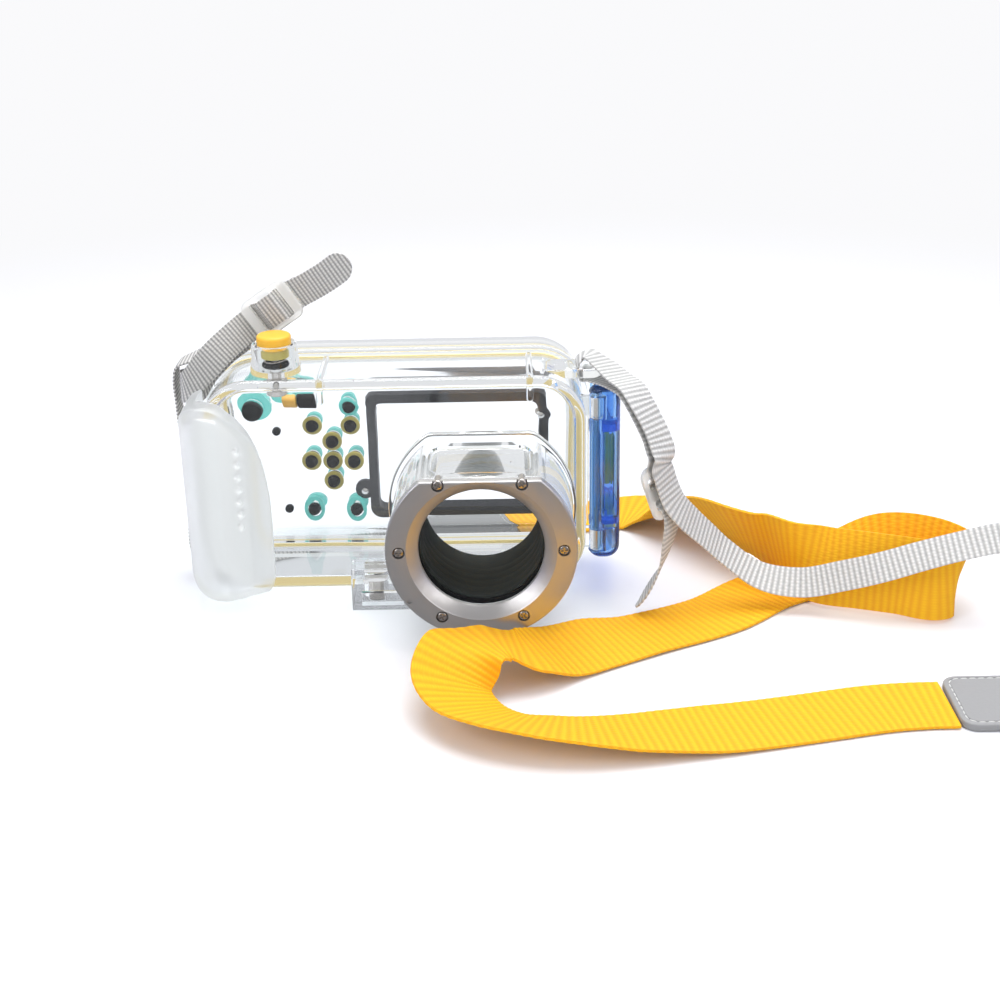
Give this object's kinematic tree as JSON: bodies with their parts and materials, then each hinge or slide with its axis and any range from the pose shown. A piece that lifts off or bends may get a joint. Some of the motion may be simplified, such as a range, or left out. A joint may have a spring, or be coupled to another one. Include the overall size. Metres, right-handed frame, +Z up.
{
  "type": "underwater camera housing",
  "caption": "Clear two-part underwater housing for a compact camera, with a lens port, sprung push controls, a side latch and a neck strap.",
  "frame": {"origin": "middle of the footprint of the housing without its straps, on the surface it stands on", "axes": "+X to the right seen from the lens port side, +Y from the lens port towards the rear half, +Z up"},
  "size_m": [0.3313, 0.1897, 0.1165],
  "materials": {
    "clear_plastic": "clear, polished polycarbonate",
    "frosted_plastic": "frosted, translucent",
    "port_metal": "blasted and anodised silver",
    "port_glass": "clear, polished",
    "steel": "turned",
    "black_plastic": "moulded black",
    "dark_liner": "matt dark grey",
    "black_rubber": "matt",
    "gasket_rubber": "yellow silicone",
    "yellow_plastic": "satin yellow",
    "blue_plastic": "clear blue, polished",
    "lime_plastic": "satin yellow-green",
    "teal_plastic": "translucent teal",
    "yellow_webbing": "ribbed webbing",
    "grey_webbing": "woven webbing",
    "grey_leather": "smooth, stitched edges"
  },
  "bodies": {
    "housing": {"front_shell": "clear_plastic", "port_ring": "port_metal", "port_glass": "port_glass", "port_seal": "black_rubber", "port_liner": "dark_liner", "ring_screw_1": "steel", "ring_screw_2": "steel", "ring_screw_3": "steel", "ring_screw_4": "steel", "ring_screw_5": "steel", "ring_screw_6": "steel", "grip": "frosted_plastic", "tripod_insert": "steel", "hinge_pin": "steel", "lever_pin": "steel", "shutter_seal": "black_rubber", "shutter_spring": "steel", "strap_wide": "yellow_webbing", "strap_left": "grey_webbing", "strap_right": "grey_webbing", "slider_left": "clear_plastic", "slider_right": "clear_plastic", "patch_left": "grey_leather", "patch_right": "grey_leather"},
    "door": {"rear_shell": "clear_plastic", "gasket": "gasket_rubber", "lcd_hood": "black_plastic", "hood_screw_1": "steel", "hood_screw_2": "steel"},
    "shutter": {"shutter_cap": "yellow_plastic", "shutter_stem": "steel"},
    "latch": {"latch_lever": "blue_plastic"},
    "lock": {"latch_lock": "lime_plastic"},
    "mode": {"mode_knob": "teal_plastic", "mode_wheel": "black_rubber"},
    "zoom": {"zoom_lever": "teal_plastic", "zoom_arm": "black_rubber"},
    "button_up": {"up_cap": "teal_plastic", "up_plunger": "black_rubber"},
    "button_down": {"down_cap": "teal_plastic", "down_plunger": "black_rubber"},
    "button_left": {"left_cap": "teal_plastic", "left_plunger": "black_rubber"},
    "button_right": {"right_cap": "teal_plastic", "right_plunger": "black_rubber"},
    "button_set": {"set_cap": "teal_plastic", "set_plunger": "black_rubber"},
    "button_flash": {"flash_cap": "teal_plastic", "flash_plunger": "black_rubber"},
    "button_timer": {"timer_cap": "teal_plastic", "timer_plunger": "black_rubber"},
    "button_record": {"record_cap": "teal_plastic", "record_plunger": "black_rubber"},
    "button_menu": {"menu_cap": "teal_plastic", "menu_plunger": "black_rubber"},
    "button_display": {"display_cap": "teal_plastic", "display_plunger": "black_rubber"}
  },
  "joints": [
    {"name": "door_hinge", "type": "hinge", "parent": "housing", "child": "door", "pos_m": [-0.0696, 0.02095, 0.037], "axis": [0, 0, 1], "range_deg": [0, 100]},
    {"name": "shutter_push", "type": "slide", "parent": "housing", "child": "shutter", "axis": [0, 0, -1], "range_m": [0, 0.002], "stiffness_N_per_m": 400, "deforming": ["shutter_spring"]},
    {"name": "latch_swing", "type": "hinge", "parent": "housing", "child": "latch", "pos_m": [0.0638, -0.00345, 0.043], "axis": [0, 0, -1], "range_deg": [0, 85]},
    {"name": "lock_slide", "type": "slide", "parent": "latch", "child": "lock", "axis": [0, 0, 1], "range_m": [0, 0.004]},
    {"name": "mode_turn", "type": "hinge", "parent": "door", "child": "mode", "pos_m": [-0.0556, 0.0407, 0.0545], "axis": [0, 1, 0], "range_deg": [-30, 30]},
    {"name": "zoom_turn", "type": "hinge", "parent": "door", "child": "zoom", "pos_m": [-0.0416, 0.0407, 0.0586], "axis": [0, 1, 0], "range_deg": [-12, 12], "stiffness_Nm_per_rad": 0.02},
    {"name": "push_up", "type": "slide", "parent": "door", "child": "button_up", "axis": [0, -1, 0], "range_m": [0, 0.002], "stiffness_N_per_m": 300},
    {"name": "push_down", "type": "slide", "parent": "door", "child": "button_down", "axis": [0, -1, 0], "range_m": [0, 0.002], "stiffness_N_per_m": 300},
    {"name": "push_left", "type": "slide", "parent": "door", "child": "button_left", "axis": [0, -1, 0], "range_m": [0, 0.002], "stiffness_N_per_m": 300},
    {"name": "push_right", "type": "slide", "parent": "door", "child": "button_right", "axis": [0, -1, 0], "range_m": [0, 0.002], "stiffness_N_per_m": 300},
    {"name": "push_set", "type": "slide", "parent": "door", "child": "button_set", "axis": [0, -1, 0], "range_m": [0, 0.002], "stiffness_N_per_m": 300},
    {"name": "push_flash", "type": "slide", "parent": "door", "child": "button_flash", "axis": [0, -1, 0], "range_m": [0, 0.002], "stiffness_N_per_m": 300},
    {"name": "push_timer", "type": "slide", "parent": "door", "child": "button_timer", "axis": [0, -1, 0], "range_m": [0, 0.002], "stiffness_N_per_m": 300},
    {"name": "push_record", "type": "slide", "parent": "door", "child": "button_record", "axis": [0, -1, 0], "range_m": [0, 0.002], "stiffness_N_per_m": 300},
    {"name": "push_menu", "type": "slide", "parent": "door", "child": "button_menu", "axis": [0, -1, 0], "range_m": [0, 0.002], "stiffness_N_per_m": 300},
    {"name": "push_display", "type": "slide", "parent": "door", "child": "button_display", "axis": [0, -1, 0], "range_m": [0, 0.002], "stiffness_N_per_m": 300}
  ]
}
